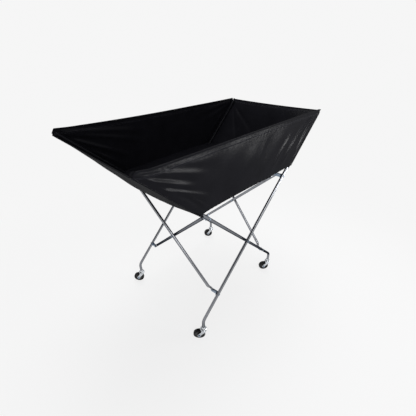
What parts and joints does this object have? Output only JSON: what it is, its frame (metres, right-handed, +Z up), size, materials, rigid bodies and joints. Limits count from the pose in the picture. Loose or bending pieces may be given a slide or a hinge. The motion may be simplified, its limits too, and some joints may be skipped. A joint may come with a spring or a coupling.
{
  "type": "ball cart",
  "caption": "Folding ball cart: a wide-mouthed fabric basket on crossed chromed tube legs and struts, rolling on small swivel casters.",
  "frame": {"origin": "middle of the footprint, on the floor", "axes": "+X along the basket, +Y across it to the far long side, +Z up"},
  "size_m": [1.1342, 0.6256, 1.031],
  "materials": {
    "chromed_tube": "polished",
    "caster_steel": "bright",
    "zinc_steel": "zinc plated",
    "wheel_rubber": "satin",
    "cap_plastic": "matte",
    "basket_cloth": "coated nylon, slight sheen"
  },
  "bodies": {
    "near_outer_leg": {"near_outer_leg": "chromed_tube", "near_outer_leg_cap": "cap_plastic", "near_outer_sleeve": "basket_cloth", "near_outer_caster_mount": "caster_steel", "near_leg_bolt": "zinc_steel"},
    "near_outer_lower_bracket": {"near_outer_lower_bracket": "zinc_steel", "near_outer_lower_pin": "zinc_steel"},
    "near_outer_upper_bracket": {"near_outer_upper_bracket": "zinc_steel", "near_outer_upper_pin": "zinc_steel"},
    "near_outer_caster": {"near_outer_caster_fork": "caster_steel", "near_outer_caster_axle": "zinc_steel"},
    "near_outer_wheel": {"near_outer_caster_wheel": "wheel_rubber"},
    "near_inner_leg": {"near_inner_leg": "chromed_tube", "near_inner_leg_cap": "cap_plastic", "near_inner_sleeve": "basket_cloth", "near_inner_caster_mount": "caster_steel"},
    "near_inner_lower_bracket": {"near_inner_lower_bracket": "zinc_steel", "near_inner_lower_pin": "zinc_steel"},
    "near_inner_upper_bracket": {"near_inner_upper_bracket": "zinc_steel", "near_inner_upper_pin": "zinc_steel", "basket_near_panel": "basket_cloth", "basket_left_panel": "basket_cloth", "basket_right_panel": "basket_cloth", "basket_floor": "basket_cloth"},
    "near_inner_caster": {"near_inner_caster_fork": "caster_steel", "near_inner_caster_axle": "zinc_steel"},
    "near_inner_wheel": {"near_inner_caster_wheel": "wheel_rubber"},
    "far_outer_leg": {"far_outer_leg": "chromed_tube", "far_outer_leg_cap": "cap_plastic", "far_outer_sleeve": "basket_cloth", "far_outer_caster_mount": "caster_steel", "far_leg_bolt": "zinc_steel"},
    "far_outer_lower_bracket": {"far_outer_lower_bracket": "zinc_steel", "far_outer_lower_pin": "zinc_steel"},
    "far_outer_upper_bracket": {"far_outer_upper_bracket": "zinc_steel", "far_outer_upper_pin": "zinc_steel"},
    "far_outer_caster": {"far_outer_caster_fork": "caster_steel", "far_outer_caster_axle": "zinc_steel"},
    "far_outer_wheel": {"far_outer_caster_wheel": "wheel_rubber"},
    "far_inner_leg": {"far_inner_leg": "chromed_tube", "far_inner_leg_cap": "cap_plastic", "far_inner_sleeve": "basket_cloth", "far_inner_caster_mount": "caster_steel"},
    "far_inner_lower_bracket": {"far_inner_lower_bracket": "zinc_steel", "far_inner_lower_pin": "zinc_steel"},
    "far_inner_upper_bracket": {"far_inner_upper_bracket": "zinc_steel", "far_inner_upper_pin": "zinc_steel", "basket_far_panel": "basket_cloth"},
    "far_inner_caster": {"far_inner_caster_fork": "caster_steel", "far_inner_caster_axle": "zinc_steel"},
    "far_inner_wheel": {"far_inner_caster_wheel": "wheel_rubber"},
    "left_outer_strut": {"left_outer_strut": "chromed_tube", "left_strut_bolt": "zinc_steel"},
    "left_inner_strut": {"left_inner_strut": "chromed_tube"},
    "right_outer_strut": {"right_outer_strut": "chromed_tube", "right_strut_bolt": "zinc_steel"},
    "right_inner_strut": {"right_inner_strut": "chromed_tube"}
  },
  "joints": [
    {"name": "fold", "type": "hinge", "parent": "near_outer_lower_bracket", "child": "near_outer_leg", "pos_m": [-0.21821, -0.29396, 0.24806], "axis": [0, -1, 0], "range_deg": [0, 28], "deforming": ["basket_near_panel", "basket_far_panel", "basket_left_panel", "basket_right_panel", "basket_floor"]},
    {"name": "near_scissor", "type": "hinge", "parent": "near_outer_leg", "child": "near_inner_leg", "pos_m": [0, -0.27747, 0.464], "axis": [0, 1, 0], "range_deg": [0, 56]},
    {"name": "near_outer_upper_pivot", "type": "hinge", "parent": "near_outer_leg", "child": "near_outer_upper_bracket", "pos_m": [0.27437, -0.29396, 0.73551], "axis": [0, 1, 0], "range_deg": [0, 28]},
    {"name": "near_inner_upper_pivot", "type": "hinge", "parent": "near_inner_leg", "child": "near_inner_upper_bracket", "pos_m": [-0.27437, -0.27747, 0.73551], "axis": [0, -1, 0], "range_deg": [0, 28]},
    {"name": "near_inner_lower_pivot", "type": "hinge", "parent": "near_inner_leg", "child": "near_inner_lower_bracket", "pos_m": [0.21821, -0.27747, 0.24806], "axis": [0, -1, 0], "range_deg": [0, 28]},
    {"name": "left_outer_strut_pivot", "type": "hinge", "parent": "near_outer_lower_bracket", "child": "left_outer_strut", "pos_m": [-0.22621, -0.25716, 0.24806], "axis": [0.9935, 0.114, 0], "range_deg": [0, 28]},
    {"name": "left_outer_strut_top", "type": "hinge", "parent": "left_outer_strut", "child": "far_inner_upper_bracket", "pos_m": [-0.28237, 0.23221, 0.73551], "axis": [-0.9935, -0.114, 0], "range_deg": [0, 28]},
    {"name": "far_inner_upper_pivot", "type": "hinge", "parent": "far_inner_upper_bracket", "child": "far_inner_leg", "pos_m": [-0.27437, 0.25251, 0.73551], "axis": [0, 1, 0], "range_deg": [0, 28]},
    {"name": "far_scissor", "type": "hinge", "parent": "far_inner_leg", "child": "far_outer_leg", "pos_m": [0, 0.25251, 0.464], "axis": [0, -1, 0], "range_deg": [0, 56]},
    {"name": "far_outer_lower_pivot", "type": "hinge", "parent": "far_outer_leg", "child": "far_outer_lower_bracket", "pos_m": [-0.21821, 0.26901, 0.24806], "axis": [0, 1, 0], "range_deg": [0, 28]},
    {"name": "far_outer_upper_pivot", "type": "hinge", "parent": "far_outer_leg", "child": "far_outer_upper_bracket", "pos_m": [0.27437, 0.26901, 0.73551], "axis": [0, 1, 0], "range_deg": [0, 28]},
    {"name": "far_inner_lower_pivot", "type": "hinge", "parent": "far_inner_leg", "child": "far_inner_lower_bracket", "pos_m": [0.21821, 0.25251, 0.24806], "axis": [0, -1, 0], "range_deg": [0, 28]},
    {"name": "left_inner_strut_pivot", "type": "hinge", "parent": "far_outer_lower_bracket", "child": "left_inner_strut", "pos_m": [-0.21022, 0.23221, 0.24806], "axis": [-0.9935, 0.114, 0], "range_deg": [0, 28]},
    {"name": "right_outer_strut_pivot", "type": "hinge", "parent": "near_inner_lower_bracket", "child": "right_outer_strut", "pos_m": [0.22621, -0.25716, 0.24806], "axis": [0.9935, -0.114, 0], "range_deg": [0, 28]},
    {"name": "right_inner_strut_pivot", "type": "hinge", "parent": "far_inner_lower_bracket", "child": "right_inner_strut", "pos_m": [0.21022, 0.23221, 0.24806], "axis": [-0.9935, -0.114, 0], "range_deg": [0, 28]},
    {"name": "near_outer_caster_swivel", "type": "hinge", "parent": "near_outer_leg", "child": "near_outer_caster", "pos_m": [-0.32626, -0.29396, 0], "axis": [0, 0, 1], "continuous": true},
    {"name": "near_outer_wheel_spin", "type": "hinge", "parent": "near_outer_caster", "child": "near_outer_wheel", "pos_m": [-0.34129, -0.2779, 0.03148], "axis": [-0.7302, -0.6833, 0], "continuous": true},
    {"name": "near_inner_caster_swivel", "type": "hinge", "parent": "near_inner_leg", "child": "near_inner_caster", "pos_m": [0.32626, -0.27747, 0], "axis": [0, 0, 1], "continuous": true},
    {"name": "near_inner_wheel_spin", "type": "hinge", "parent": "near_inner_caster", "child": "near_inner_wheel", "pos_m": [0.31122, -0.2614, 0.03148], "axis": [-0.7302, -0.6833, 0], "continuous": true},
    {"name": "far_outer_caster_swivel", "type": "hinge", "parent": "far_outer_leg", "child": "far_outer_caster", "pos_m": [-0.32626, 0.26901, 0], "axis": [0, 0, 1], "continuous": true},
    {"name": "far_outer_wheel_spin", "type": "hinge", "parent": "far_outer_caster", "child": "far_outer_wheel", "pos_m": [-0.34129, 0.28507, 0.03148], "axis": [-0.7302, -0.6833, 0], "continuous": true},
    {"name": "far_inner_caster_swivel", "type": "hinge", "parent": "far_inner_leg", "child": "far_inner_caster", "pos_m": [0.32626, 0.25251, 0], "axis": [0, 0, 1], "continuous": true},
    {"name": "far_inner_wheel_spin", "type": "hinge", "parent": "far_inner_caster", "child": "far_inner_wheel", "pos_m": [0.31122, 0.26857, 0.03148], "axis": [-0.7302, -0.6833, 0], "continuous": true}
  ],
  "couplings": [
    {"joint": "near_scissor", "follows": "fold", "ratio": 2},
    {"joint": "near_outer_upper_pivot", "follows": "fold", "ratio": 1},
    {"joint": "near_inner_upper_pivot", "follows": "fold", "ratio": 1},
    {"joint": "near_inner_lower_pivot", "follows": "fold", "ratio": 1},
    {"joint": "left_outer_strut_pivot", "follows": "fold", "ratio": 1},
    {"joint": "left_outer_strut_top", "follows": "fold", "ratio": 1},
    {"joint": "far_inner_upper_pivot", "follows": "fold", "ratio": 1},
    {"joint": "far_scissor", "follows": "fold", "ratio": 2},
    {"joint": "far_outer_lower_pivot", "follows": "fold", "ratio": 1},
    {"joint": "far_outer_upper_pivot", "follows": "fold", "ratio": 1},
    {"joint": "far_inner_lower_pivot", "follows": "fold", "ratio": 1},
    {"joint": "left_inner_strut_pivot", "follows": "fold", "ratio": 1},
    {"joint": "right_outer_strut_pivot", "follows": "fold", "ratio": 1},
    {"joint": "right_inner_strut_pivot", "follows": "fold", "ratio": 1}
  ]
}
